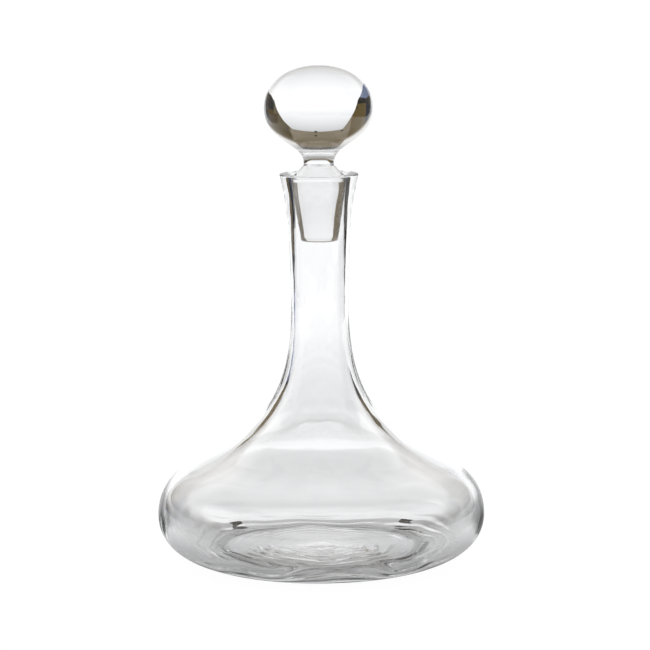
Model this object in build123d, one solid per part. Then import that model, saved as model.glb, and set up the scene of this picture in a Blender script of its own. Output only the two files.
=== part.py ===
from build123d import *
from collections import namedtuple
import os

# Wine decanter with a ball stopper: a blown glass vessel and a solid glass stopper.
# Millimetres, +Z up, foot on Z = 0, everything turned about the Z axis.
#
# Each profile is a chain of smooth curves that climbs from knot to knot. A knot is a circle of
# the object: its radius and height, how far the profile leans in from upright there (degrees;
# -90 is level and outwards, 90 is level and inwards), and how far it keeps to that direction
# below and above the circle.
Knot = namedtuple("Knot", "r z lean below above")

# ---- vessel, outside ----
PUNT = Knot(0, 0.3, -90, 0, 28.8)           # hollow under the middle of the base
FOOT_IN = Knot(53.7, 0, -94, 8, 0)          # the flat ring that the vessel stands on
FOOT_OUT = Knot(60, 0, -90, 0, 6.7)
BELLY = Knot(98.5, 29.5, 0, 25.3, 30)       # widest circle
SHOULDER = Knot(48, 77, 48, 21, 23)         # where round turns to hollow
WAIST = Knot(17.3, 155.5, 0, 46, 41)        # narrowest circle of the neck
LIP = Knot(23.6, 235, -14, 18, 0)
LIP_ROUND = 0.6

# ---- vessel, inside ----
FLOOR_MID = Knot(0, 8.5, -90, 0, 14.8)
FLOOR_EDGE = Knot(64.2, 4.9, -90, 14.8, 1.7)
CAVITY = Knot(93.1, 31, 0, 21.5, 26)        # widest circle of the cavity
CAVITY_SHOULDER = Knot(44.6, 73.3, 47.3, 24.9, 14.5)
THROAT = Knot(27.4, 92, 31.7, 8, 25.8)
BORE = Knot(14.8, 191, 0, 53.8, 0)          # the bore is straight from here up to the seat
SEAT = Knot(14.8, 205, 0, 0, 12)            # the seat opens from here up to the mouth
MOUTH = Knot(16.5, 235, -6.5, 14, 0)

# ---- stopper ----
PLUG_END = Knot(11.3, 195.3, 0, 0, 0)
PLUG_ROUND = 1.2
PLUG_TOP = Knot(16.1, 233.4, 0, 0, 0)
COLLAR = Knot(9.4, 240, 0, 0, 0)            # crease where the stem meets the collar
STEM = Knot(9.2, 241.7, 0, 0, 11.9)
BALL = Knot(32.5, 274.6, 0, 20.9, 13.4)     # widest circle of the ball
TOP = Knot(0, 299.7, 90, 19.9, 0)


def ahead(knot, distance):
    """The point `distance` up the profile's direction at a knot (down it when negative)."""
    move = Vector(0, distance).rotate(Axis.Z, knot.lean)
    return (knot.r + move.X, knot.z + move.Y)


def curve(low, high):
    """The smooth curve from one knot up to the next."""
    return Bezier(ahead(low, 0), ahead(low, low.above), ahead(high, -high.below), ahead(high, 0))


def straight(low, high):
    return Line(ahead(low, 0), ahead(high, 0))


def chain(join, *knots):
    """The same kind of join between each knot and the next."""
    return [join(low, high) for low, high in zip(knots, knots[1:])]


def turned(*curves):
    """The solid made by turning a closed chain of curves about the Z axis."""
    outline = Plane.XZ * make_face([edge for curve in curves for edge in curve.edges()])
    return revolve(outline, Axis.Z)


def rounded(solid, height, radius):
    """The solid with its circular edges at `height` rounded."""
    edges = solid.edges().filter_by_position(Axis.Z, height - 0.01, height + 0.01)
    return fillet(edges.filter_by(GeomType.CIRCLE), radius)


def vessel():
    outside = chain(curve, PUNT, FOOT_IN) + chain(straight, FOOT_IN, FOOT_OUT)
    outside += chain(curve, FOOT_OUT, BELLY, SHOULDER, WAIST, LIP)
    inside = chain(curve, FLOOR_MID, FLOOR_EDGE, CAVITY, CAVITY_SHOULDER, THROAT, BORE)
    inside += chain(straight, BORE, SEAT) + chain(curve, SEAT, MOUTH)
    ends = chain(straight, PUNT, FLOOR_MID) + chain(straight, MOUTH, LIP)
    return rounded(turned(*outside, *inside, *ends), LIP.z, LIP_ROUND)


def stopper():
    end = Knot(0, PLUG_END.z, 0, 0, 0)
    plug = chain(straight, TOP, end, PLUG_END, PLUG_TOP, COLLAR, STEM)
    ball = chain(curve, STEM, BALL, TOP)
    return rounded(turned(*plug, *ball), PLUG_END.z, PLUG_ROUND)


os.makedirs("parts", exist_ok=True)
for name, solid in (("vessel", vessel()), ("stopper", stopper())):
    solid.label = name
    export_step(solid, f"parts/{name}.step")
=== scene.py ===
import math
from collections import namedtuple

import bpy
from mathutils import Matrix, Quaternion, Vector, noise


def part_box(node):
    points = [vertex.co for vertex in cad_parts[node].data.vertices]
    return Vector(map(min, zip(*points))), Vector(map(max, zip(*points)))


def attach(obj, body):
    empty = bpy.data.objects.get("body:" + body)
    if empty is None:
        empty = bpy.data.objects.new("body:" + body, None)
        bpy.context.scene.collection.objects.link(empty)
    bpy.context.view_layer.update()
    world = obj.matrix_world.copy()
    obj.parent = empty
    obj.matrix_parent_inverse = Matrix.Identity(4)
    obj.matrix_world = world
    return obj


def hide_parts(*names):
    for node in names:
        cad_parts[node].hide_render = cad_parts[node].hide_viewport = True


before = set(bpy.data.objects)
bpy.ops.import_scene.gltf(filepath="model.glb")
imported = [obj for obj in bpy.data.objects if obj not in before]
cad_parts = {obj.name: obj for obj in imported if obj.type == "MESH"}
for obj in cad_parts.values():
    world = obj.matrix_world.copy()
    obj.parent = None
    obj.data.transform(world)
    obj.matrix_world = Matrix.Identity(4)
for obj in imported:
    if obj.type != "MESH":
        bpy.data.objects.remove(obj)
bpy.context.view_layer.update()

MM = 0.001
TURNS = 360                          # faces round a turned piece
_, vessel_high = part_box("vessel")
stopper_low, stopper_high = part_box("stopper")

# A profile climbs through knots: radius and height in mm, the lean in from upright there in
# degrees, and how far the profile keeps to that direction below and above the knot. These are
# the CAD part's own knots. A program fitted most of them to the photo, and they are rounded.
Knot = namedtuple("Knot", "r z lean below above")

# ---- the vessel, outside ----
PUNT = Knot(0, 0.3, -90, 0, 28.8)
FOOT_IN = Knot(53.7, 0, -94, 8, 0)
FOOT_OUT = Knot(60, 0, -90, 0, 6.7)
BELLY = Knot(vessel_high.x / MM, 29.5, 0, 25.3, 30)
SHOULDER = Knot(48, 77, 48, 21, 23)
WAIST = Knot(17.3, 155.5, 0, 46, 41)
LIP = Knot(23.6, vessel_high.z / MM, -14, 18, 0)
LIP_ROUND = 0.6

# ---- the vessel, inside ----
FLOOR_MID = Knot(0, 8.5, -90, 0, 14.8)
FLOOR_EDGE = Knot(64.2, 4.9, -90, 14.8, 1.7)
CAVITY = Knot(93.1, 31, 0, 21.5, 26)
CAVITY_SHOULDER = Knot(44.6, 73.3, 47.3, 24.9, 14.5)
THROAT = Knot(27.4, 92, 31.7, 8, 25.8)
BORE = Knot(14.8, 191, 0, 53.8, 0)
SEAT = Knot(14.8, 205, 0, 0, 12)
MOUTH = Knot(16.5, LIP.z, -6.5, 14, 0)

# ---- the stopper ----
PLUG_END = Knot(11.3, stopper_low.z / MM, 0, 0, 0)
PLUG_ROUND = 1.2
PLUG_FLARE = 0.14                    # how much wider the cone is above its rounded edge
PLUG_TOP = Knot(16.1, 233.4, 0, 0, 0)
COLLAR = Knot(9.4, 240, 0, 0, 0)
STEM = Knot(9.2, 241.7, 0, 0, 11.9)
BALL = Knot(stopper_high.x / MM, 274.6, 0, 20.9, 13.4)
TOP = Knot(0, stopper_high.z / MM, 90, 19.9, 0)


# ---------------------------------------------------------------- profiles

def ahead(knot, distance):
    """The point `distance` up the profile's direction at a knot (down it when negative)."""
    a = math.radians(knot.lean)
    return (knot.r - distance * math.sin(a), knot.z + distance * math.cos(a))


def curve(low, high, count):
    """`count` points of the smooth curve from one knot up to the next, without the next."""
    ends = (ahead(low, 0), ahead(low, low.above), ahead(high, -high.below), ahead(high, 0))
    points = []
    for i in range(count):
        t = i / count
        s = 1 - t
        weights = (s * s * s, 3 * s * s * t, 3 * s * t * t, t * t * t)
        points.append(tuple(sum(w * p[k] for w, p in zip(weights, ends)) for k in (0, 1)))
    return points


def straight(low, high, count):
    """`count` points of the straight line from one knot to the next, without the next."""
    return [tuple(low[k] + (high[k] - low[k]) * i / count for k in (0, 1)) for i in range(count)]


def chain(join, count, *knots):
    """The same kind of join between each knot and the next, `count` points each."""
    return [point for low, high in zip(knots, knots[1:]) for point in join(low, high, count)]


def arc(r, z, radius, start, end, count):
    """`count` + 1 points round a circle, from `start` to `end` degrees."""
    angles = (math.radians(start + (end - start) * i / count) for i in range(count + 1))
    return [(r + radius * math.cos(a), z + radius * math.sin(a)) for a in angles]


def vessel_outside():
    end = LIP._replace(z=LIP.z - LIP_ROUND)
    return (
        chain(curve, 40, PUNT, FOOT_IN)
        + chain(straight, 4, FOOT_IN, FOOT_OUT)
        + chain(curve, 80, FOOT_OUT, BELLY, SHOULDER, WAIST, end)
        + arc(LIP.r - LIP_ROUND, end.z, LIP_ROUND, 0, 90, 6)
    )


def vessel_inside():
    end = MOUTH._replace(z=MOUTH.z - LIP_ROUND)
    upward = (
        chain(curve, 80, FLOOR_MID, FLOOR_EDGE, CAVITY, CAVITY_SHOULDER, THROAT, BORE)
        + chain(straight, 12, BORE, SEAT)
        + chain(curve, 30, SEAT, end)
        + arc(MOUTH.r + LIP_ROUND, end.z, LIP_ROUND, 180, 90, 6)
    )
    return upward[::-1]


def stopper_profile():
    start = PLUG_END._replace(z=PLUG_END.z + PLUG_ROUND, r=PLUG_END.r + PLUG_FLARE)
    return (
        [(PLUG_END.r * i / 12, PLUG_END.z) for i in range(11)]
        + arc(PLUG_END.r - PLUG_ROUND, start.z, PLUG_ROUND, -90, 0, 8)
        + chain(straight, 40, start, PLUG_TOP)[1:]
        + chain(straight, 20, PLUG_TOP, COLLAR)
        + chain(straight, 6, COLLAR, STEM)
        + chain(curve, 100, STEM, BALL, TOP)
        + [(0, TOP.z)]
    )


# ---------------------------------------------------------------- turned glass

SWELL = 0.10                         # height in mm of the broad waves of the blown walls
DIMPLE = 0.03                        # and of the small ones
RING_WIDTH = 8                       # mm from one ring of the inner floor to the next
RING_HEIGHT = 0.11
RING_EDGE_HEIGHT = 0.13              # added to it where the floor turns up


def smooth(value, low, high):
    """0 below `low`, 1 above `high`, and a soft change between them."""
    t = min(max((value - low) / (high - low), 0), 1)
    return t * t * (3 - 2 * t)


def blown(radius, height, angle):
    """The gentle unevenness of blown glass: how far, in mm, a wall leaves its true curve. The
    foot is ground flat, so it has none."""
    spot = Vector((math.cos(angle), math.sin(angle), height / 45))
    wave = SWELL * noise.noise(spot * 1.7) + DIMPLE * noise.noise(spot * 6)
    return wave * smooth(height, 0, 12)


def rippled(radius, height, angle):
    """The inside: uneven as the rest, with wandering rings where its floor was turned."""
    spot = Vector((radius * math.cos(angle), radius * math.sin(angle), height))
    wander = 9 * noise.noise(spot / 48) + 3 * noise.noise(spot / 17)
    rings = math.sin((radius + wander) * 2 * math.pi / RING_WIDTH)
    floor = smooth(radius, 10, 40) * (1 - smooth(radius, 80, 92)) * (1 - smooth(height, 14, 28))
    ring_height = RING_HEIGHT + RING_EDGE_HEIGHT * smooth(radius, 52, 68)
    return blown(radius, height, angle) + ring_height * rings * floor


def turned(name, *walls):
    """A mesh turned from walls that join end to end, first and last point on the axis. Each
    wall is a profile and its unevenness, which moves it along its own normal."""
    rings = []
    for profile, uneven in walls:
        for i, (r, z) in enumerate(profile):
            before, after = profile[max(i - 1, 0)], profile[min(i + 1, len(profile) - 1)]
            along = Vector((after[0] - before[0], after[1] - before[1])).normalized()
            rings.append((r, z, along, uneven))
    points = []
    for r, z, along, uneven in rings:
        for k in range(TURNS if r > 0 else 1):
            a = 2 * math.pi * k / TURNS
            move = uneven(r, z, a) if uneven and r > 0 else 0
            out, up = r + move * along.y, z - move * along.x
            points.append((out * MM * math.cos(a), out * MM * math.sin(a), up * MM))
    last = len(points) - 1
    faces = []
    for k in range(TURNS):
        n = (k + 1) % TURNS
        faces.append((0, 1 + n, 1 + k))
        for i in range(len(rings) - 3):
            low, high = 1 + i * TURNS, 1 + (i + 1) * TURNS
            faces.append((low + k, low + n, high + n, high + k))
        end = last - TURNS
        faces.append((last, end + k, end + n))
    mesh = bpy.data.meshes.new(name)
    mesh.from_pydata(points, [], faces)
    mesh.shade_smooth()
    piece = bpy.data.objects.new(name, mesh)
    bpy.context.collection.objects.link(piece)
    return piece


# ---------------------------------------------------------------- materials

REFRACTION = 1.52                    # ordinary glass


def new_material(name):
    """A material with no nodes yet, its nodes and its links."""
    material = bpy.data.materials.new(name)
    material.use_nodes = True
    nodes = material.node_tree.nodes
    nodes.clear()
    return material, nodes, material.node_tree.links


def glass(name, tint, density, grain, depth):
    """Polished glass: clear, faintly tinted through its thickness (more so at a higher
    `density`), with a surface that is never quite flat. `grain` is the size of its unevenness
    and `depth` its height, in metres."""
    material, nodes, links = new_material(name)
    out = nodes.new("ShaderNodeOutputMaterial")
    shader = nodes.new("ShaderNodeBsdfPrincipled")
    shader.inputs["Base Color"].default_value = (1, 1, 1, 1)
    shader.inputs["Transmission Weight"].default_value = 1.0
    shader.inputs["IOR"].default_value = REFRACTION
    shader.inputs["Roughness"].default_value = 0.0
    absorption = nodes.new("ShaderNodeVolumeAbsorption")
    absorption.inputs["Color"].default_value = (*tint, 1)
    absorption.inputs["Density"].default_value = density
    place = nodes.new("ShaderNodeTexCoord")
    wave = nodes.new("ShaderNodeTexNoise")
    wave.inputs["Scale"].default_value = 1 / grain
    wave.inputs["Detail"].default_value = 1.0
    bump = nodes.new("ShaderNodeBump")
    bump.inputs["Strength"].default_value = 1.0
    bump.inputs["Distance"].default_value = depth
    links.new(place.outputs["Object"], wave.inputs["Vector"])
    links.new(wave.outputs["Fac"], bump.inputs["Height"])
    links.new(bump.outputs["Normal"], shader.inputs["Normal"])
    links.new(shader.outputs["BSDF"], out.inputs["Surface"])
    links.new(absorption.outputs["Volume"], out.inputs["Volume"])
    return material


def glow(name, colour, strength=1.0):
    """A card that shines evenly and reflects nothing."""
    material, nodes, links = new_material(name)
    out = nodes.new("ShaderNodeOutputMaterial")
    light = nodes.new("ShaderNodeEmission")
    light.inputs["Color"].default_value = (*colour, 1)
    light.inputs["Strength"].default_value = strength
    links.new(light.outputs["Emission"], out.inputs["Surface"])
    return material


def fading_glow(name, colour, heights, strengths):
    """A glow that goes from one strength to another between two heights."""
    material = glow(name, colour)
    nodes, links = material.node_tree.nodes, material.node_tree.links
    place = nodes.new("ShaderNodeNewGeometry")
    axes = nodes.new("ShaderNodeSeparateXYZ")
    level = nodes.new("ShaderNodeMapRange")
    level.inputs["From Min"].default_value, level.inputs["From Max"].default_value = heights
    level.inputs["To Min"].default_value, level.inputs["To Max"].default_value = strengths
    links.new(place.outputs["Position"], axes.inputs["Vector"])
    links.new(axes.outputs["Z"], level.inputs["Value"])
    links.new(level.outputs["Result"], nodes["Emission"].inputs["Strength"])
    return material


# ---------------------------------------------------------------- pieces

GRAIN = 0.033                        # metres from one soft wave of a glass surface to the next

vessel = turned("vessel_glass", (vessel_outside(), blown), (vessel_inside(), rippled))
vessel.data.materials.append(glass("clear_glass", (0.93, 0.97, 0.96), 1.0, GRAIN, 0.00002))
stopper = turned("stopper_glass", (stopper_profile(), None))
stopper.data.materials.append(glass("solid_glass", (0.93, 0.96, 0.97), 0.8, GRAIN, 0.00001))
for piece, node in ((vessel, "vessel"), (stopper, "stopper")):
    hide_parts(node)
    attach(piece, node)


# ---------------------------------------------------------------- stage
#
# The camera sees a plain white floor and a plain white world. The glass also sees a small
# photo studio round it, made of cards that the camera and the floor don't see: a paper sweep
# that the object stands on, lamps round and over it, and the room behind them. Bearings are in
# degrees from +Y towards +X, and lengths are in metres.

ROOM = 2.6                           # radius of the room
CEILING = 2.4
LAMPS = 1.5                          # radius of the ring of lamps
LAMP_TOP = 2.2
PAPER_FRONT = -1.15
PAPER_LEFT = -0.52
PAPER_RIGHT = 0.90
PAPER_ROWS = [                       # the sweep from front to back: y, z, left edge, right edge
    (PAPER_FRONT, 0, PAPER_LEFT, PAPER_RIGHT), (0.4, 0, PAPER_LEFT, PAPER_RIGHT),
    (0.72, 0, -0.67, PAPER_RIGHT), (1.0, 0.07, -0.70, PAPER_RIGHT),
    (1.2, 0.25, -0.70, PAPER_RIGHT), (1.4, 0.49, -0.63, 0.80), (1.6, 0.73, -0.56, 0.62),
]
REACH = 0.8                          # beyond it the level paper is evenly lit
# Brightness of the paper by distance from the axis, on each side of the object. A program
# fitted the levels behind to the photo, apart from the dark ring where the foot stands and the
# far end, and they are rounded. The others started from that fit and were changed.
LIGHT_BEHIND = [
    (0, 0.58), (0.045, 0.56), (0.056, 0.50), (0.059, 0.18), (0.064, 0.18), (0.068, 0.46),
    (0.088, 0.52), (0.102, 0.74), (0.112, 0.96), (0.15, 0.90), (0.20, 0.74), (0.27, 0.80),
    (0.33, 0.84), (0.55, 0.95), (0.8, 1.04),
]
LIGHT_BESIDE = [
    (0, 0.60), (0.03, 0.36), (0.056, 0.33), (0.059, 0.06), (0.064, 0.06), (0.068, 0.28),
    (0.09, 0.38), (0.115, 0.42), (0.15, 0.36), (0.19, 0.26), (0.25, 0.40), (0.4, 0.80),
    (0.8, 1.04),
]
NEAR = 7                             # how many stops the light before takes from the one beside
LIGHT_BEFORE = LIGHT_BESIDE[:NEAR] + [(0.13, 0.75), (0.2, 0.85), (0.33, 0.92), (0.8, 1.04)]
FROM_BEFORE = (0.1, 0.4)             # cosines of the bearings where one light becomes the next
TO_BEHIND = (0.6, 0.85)
BEND = (0.20, 0.72)                  # heights between which the bent-up paper grows darker
BEND_LIGHT = (1.05, 0.60)
SHADE_PATCH = [                             # a patch of painted shade on the paper, and its mirror image: x and y
    (0.046, 0.055), (0.051, 0.052), (0.059, 0.068), (0.061, 0.083), (0.054, 0.086), (0.051, 0.072),
]
CLIPS = [                            # small dark clips round the paper: bearing and height
    (-19, 0.69), (2, 0.68), (2, 0.80), (27, 0.66), (27, 0.73), (-33, 0.20), (44, 0.14),
]
CLIP_RADIUS = 1.42
CLIP_SIZE = (1, 0.022)               # half its width in degrees, and half its height
LEVELS = {                           # the flat cards lie just under the object, one over another
    "shade_patch": -0.0001, "paper": -0.0002, "side": -0.0003, "table": -0.0004, "room": -0.0006,
    "floor": -0.0010,
}
FLOOR_REACH = 14                     # half the width of the floor that the camera sees
WARM = (1, 0.985, 0.96)


def staged(name, points, faces, material):
    """A mesh that belongs to the studio, and not to the object."""
    mesh = bpy.data.meshes.new(name)
    mesh.from_pydata(points, [], faces)
    mesh.materials.append(material)
    card = bpy.data.objects.new(name, mesh)
    bpy.context.collection.objects.link(card)
    return card


def card(name, points, faces, material):
    """A studio card that is seen only in and through the glass."""
    made = staged(name, points, faces, material)
    made.visible_camera = False
    made.visible_diffuse = False
    made.visible_shadow = False
    made.visible_volume_scatter = False


def wall(name, start, end, low, high, radius, material, count=24):
    """An upright card bent round the object between two bearings. `low` and `high` are its
    heights, or pairs of heights at its two ends."""
    points = []
    for i in range(count + 1):
        t = i / count
        a = math.radians(start + (end - start) * t)
        for level in (low, high):
            z = level[0] + (level[1] - level[0]) * t if isinstance(level, tuple) else level
            points.append((radius * math.sin(a), radius * math.cos(a), z))
    faces = [(2 * i, 2 * i + 1, 2 * i + 3, 2 * i + 2) for i in range(count)]
    card(name, points, faces, material)


def flat(name, left, right, near, far, height, material):
    """A level card between two x and two y."""
    points = [(left, near, height), (right, near, height), (right, far, height), (left, far, height)]
    card(name, points, [(0, 1, 2, 3)], material)


def sweep(name, material):
    """The paper: level under the object and bent up behind it."""
    points = []
    for y, z, left, right in PAPER_ROWS:
        points += [(left, y, z + LEVELS["paper"]), (right, y, z + LEVELS["paper"])]
    faces = [(2 * i, 2 * i + 1, 2 * i + 3, 2 * i + 2) for i in range(len(PAPER_ROWS) - 1)]
    card(name, points, faces, material)


def brightness(nodes, stops):
    """A ramp of grey levels over 0 to REACH metres: dim under the hollow base, dark where the
    foot stands, then the light that the glass throws round itself, then open paper."""
    ramp = nodes.new("ShaderNodeValToRGB")
    elements = ramp.color_ramp.elements
    while len(elements) < len(stops):
        elements.new(0.5)
    for element, (distance, level) in zip(elements, stops):
        element.position = distance / REACH
        element.color = (level, level, level, 1)
    return ramp


def mixed(nodes, links, value, limits, first, second):
    """The first light where `value` is below both limits, the second where it is above them,
    and a soft change between."""
    change = nodes.new("ShaderNodeMapRange")
    change.interpolation_type = "SMOOTHSTEP"
    change.inputs["From Min"].default_value, change.inputs["From Max"].default_value = limits
    mix = nodes.new("ShaderNodeMix")
    mix.data_type = "RGBA"
    # The node has sockets for every kind of value, and these are the ones for colours.
    factor, colour_1, colour_2, result = mix.inputs[0], mix.inputs[6], mix.inputs[7], mix.outputs[2]
    links.new(value, change.inputs["Value"])
    links.new(change.outputs["Result"], factor)
    links.new(first, colour_1)
    links.new(second, colour_2)
    return result


def paper_light(name):
    """White paper, shaded round the foot of the object and up the bend of the sheet."""
    material, nodes, links = new_material(name)
    out = nodes.new("ShaderNodeOutputMaterial")
    light = nodes.new("ShaderNodeEmission")
    light.inputs["Color"].default_value = (0.985, 0.99, 1.0, 1)
    place = nodes.new("ShaderNodeNewGeometry")
    axes = nodes.new("ShaderNodeSeparateXYZ")
    level = nodes.new("ShaderNodeCombineXYZ")
    away = nodes.new("ShaderNodeVectorMath")
    away.operation = "LENGTH"
    reach = nodes.new("ShaderNodeMath")
    reach.operation = "DIVIDE"
    reach.inputs[1].default_value = REACH
    ramps = [brightness(nodes, stops) for stops in (LIGHT_BEFORE, LIGHT_BESIDE, LIGHT_BEHIND)]
    cosine = nodes.new("ShaderNodeMath")
    cosine.operation = "DIVIDE"
    up = nodes.new("ShaderNodeMapRange")
    up.inputs["From Min"].default_value, up.inputs["From Max"].default_value = BEND
    up.inputs["To Min"].default_value, up.inputs["To Max"].default_value = BEND_LIGHT
    both = nodes.new("ShaderNodeMath")
    both.operation = "MULTIPLY"
    links.new(place.outputs["Position"], axes.inputs["Vector"])
    links.new(axes.outputs["X"], level.inputs["X"])
    links.new(axes.outputs["Y"], level.inputs["Y"])
    links.new(level.outputs["Vector"], away.inputs[0])
    links.new(away.outputs["Value"], reach.inputs[0])
    for ramp in ramps:
        links.new(reach.outputs["Value"], ramp.inputs["Fac"])
    links.new(axes.outputs["Y"], cosine.inputs[0])
    links.new(away.outputs["Value"], cosine.inputs[1])
    before, beside, behind = (ramp.outputs["Color"] for ramp in ramps)
    near = mixed(nodes, links, cosine.outputs["Value"], FROM_BEFORE, before, beside)
    around = mixed(nodes, links, cosine.outputs["Value"], TO_BEHIND, near, behind)
    links.new(axes.outputs["Z"], up.inputs["Value"])
    links.new(around, both.inputs[0])
    links.new(up.outputs["Result"], both.inputs[1])
    links.new(both.outputs["Value"], light.inputs["Strength"])
    links.new(light.outputs["Emission"], out.inputs["Surface"])
    return material


def floor_paint(name):
    """Nearly all glow and hardly lit, so that the object's shadow on it is faint."""
    material, nodes, links = new_material(name)
    out = nodes.new("ShaderNodeOutputMaterial")
    matt = nodes.new("ShaderNodeBsdfDiffuse")
    matt.inputs["Color"].default_value = (0.06, 0.06, 0.06, 1)
    glowing = nodes.new("ShaderNodeEmission")
    glowing.inputs["Strength"].default_value = 0.97
    both = nodes.new("ShaderNodeAddShader")
    links.new(matt.outputs["BSDF"], both.inputs[0])
    links.new(glowing.outputs["Emission"], both.inputs[1])
    links.new(both.outputs["Shader"], out.inputs["Surface"])
    return material


corners = [(x * FLOOR_REACH, y * FLOOR_REACH, 0) for x, y in ((-1, -1), (1, -1), (1, 1), (-1, 1))]
floor = staged("floor", corners, [(0, 1, 2, 3)], floor_paint("white_floor"))
floor.location.z = LEVELS["floor"]

lamp = fading_glow("lamp", WARM, (1.2, 1.8), (0.85, 0.40))
overhead = glow("overhead", WARM, 0.38)
lamp_edge = glow("lamp_edge", (0.42, 0.38, 0.32))
window = glow("window", (1, 1, 1), 0.9)
wall_paint = glow("wall_paint", (0.22, 0.18, 0.12))
brown_left = glow("brown_left", (0.115, 0.078, 0.022))
brown_right = glow("brown_right", (0.075, 0.048, 0.006))
# Black for the flag, the clips and the room floor, and for the patches of painted shade on the
# paper.
black = glow("black_flag_and_shade", (0.012, 0.008, 0.004))
navy = glow("navy_cloth", (0.008, 0.013, 0.026))
table = glow("blue_table", (0.17, 0.21, 0.33))
dark = glow("dark_room", (0.07, 0.066, 0.06))
front = glow("front_room", (0.38, 0.38, 0.38))

sweep("paper", paper_light("paper_white"))
flat("paper_side", -1.5, PAPER_LEFT, PAPER_FRONT, 0.12, LEVELS["side"], window)
flat("table_left", -1.2, PAPER_LEFT, 0.12, 1.0, LEVELS["table"], table)
flat("room_floor", -ROOM, ROOM, -ROOM, ROOM, LEVELS["room"], black)
wall("wall_back", -27, 24, 0, CEILING, ROOM, wall_paint)
wall("wall_left", -50, -27, 0, CEILING, ROOM, brown_left)
wall("wall_right", 24, 60, 0, CEILING, ROOM, brown_right)
wall("flag_right", 42, 60, 0, 0.26, LAMPS, black)
wall("cloth_left", -72, -50, 0, CEILING, ROOM, navy)
wall("cloth_right", 60, 105, 0, CEILING, ROOM, navy)
wall("window_left", -110, -72, 0, 1.2, LAMPS, window)
wall("wall_front", 105, 288, 0, CEILING, ROOM, front)
wall("lamp_left", -75, -26, (0.40, 1.14), LAMP_TOP, LAMPS, lamp)
wall("lamp_left_edge", -75, -26, (0.32, 1.04), (0.40, 1.14), LAMPS, lamp_edge)
wall("lamp_right", 24, 75, (1.28, 0.66), LAMP_TOP, LAMPS, lamp)
wall("lamp_right_edge", 24, 75, (1.16, 0.58), (1.28, 0.66), LAMPS, lamp_edge)
flat("ceiling", -ROOM, ROOM, -ROOM, ROOM, CEILING, dark)
flat("lamp_top", -LAMPS, LAMPS, -LAMPS, 1.2, LAMP_TOP + 0.1, overhead)
# Two patches of painted shade on the paper, one the mirror image of the other.
for number, side in enumerate((-1, 1)):
    outline = [(side * x, y, LEVELS["shade_patch"]) for x, y in SHADE_PATCH]
    card(f"mark_{number}", outline, [range(len(SHADE_PATCH))], black)
half_width, half_height = CLIP_SIZE
for number, (bearing, height) in enumerate(CLIPS):
    left, right = bearing - half_width, bearing + half_width
    low, high = height - half_height, height + half_height
    wall(f"clip_{number}", left, right, low, high, CLIP_RADIUS, black, 1)

world = bpy.data.worlds.new("studio")
world.use_nodes = True
world.node_tree.nodes["Background"].inputs["Color"].default_value = (1, 1, 1, 1)
world.node_tree.nodes["Background"].inputs["Strength"].default_value = 1.1
scene = bpy.context.scene
scene.world = world
scene.view_settings.view_transform = "Standard"
scene.cycles.max_bounces = 32
scene.cycles.transmission_bounces = 32
scene.cycles.glossy_bounces = 16
scene.cycles.transparent_max_bounces = 8


# ---------------------------------------------------------------- camera
#
# Its pitch and the height that it looks at were fitted together with the knots.

SENSOR = 36                          # width in mm
LENS = 182.77                        # focal length in mm: a narrow view, from some way off
PITCH = math.radians(8.73)
ROLL = math.radians(0.4)
DISTANCE = 1.98
TARGET = Vector((0.003, 0, 0.1437))
back = Vector((0, -math.cos(PITCH), math.sin(PITCH)))
camera_data = bpy.data.cameras.new("camera")
camera_data.sensor_width = SENSOR
camera_data.lens = LENS
camera = bpy.data.objects.new("camera", camera_data)
bpy.context.collection.objects.link(camera)
camera.location = TARGET + back * DISTANCE
camera.rotation_mode = "QUATERNION"
look = (-back).to_track_quat("-Z", "Y")
camera.rotation_quaternion = look @ Quaternion((0, 0, 1), -ROLL)
scene.camera = camera
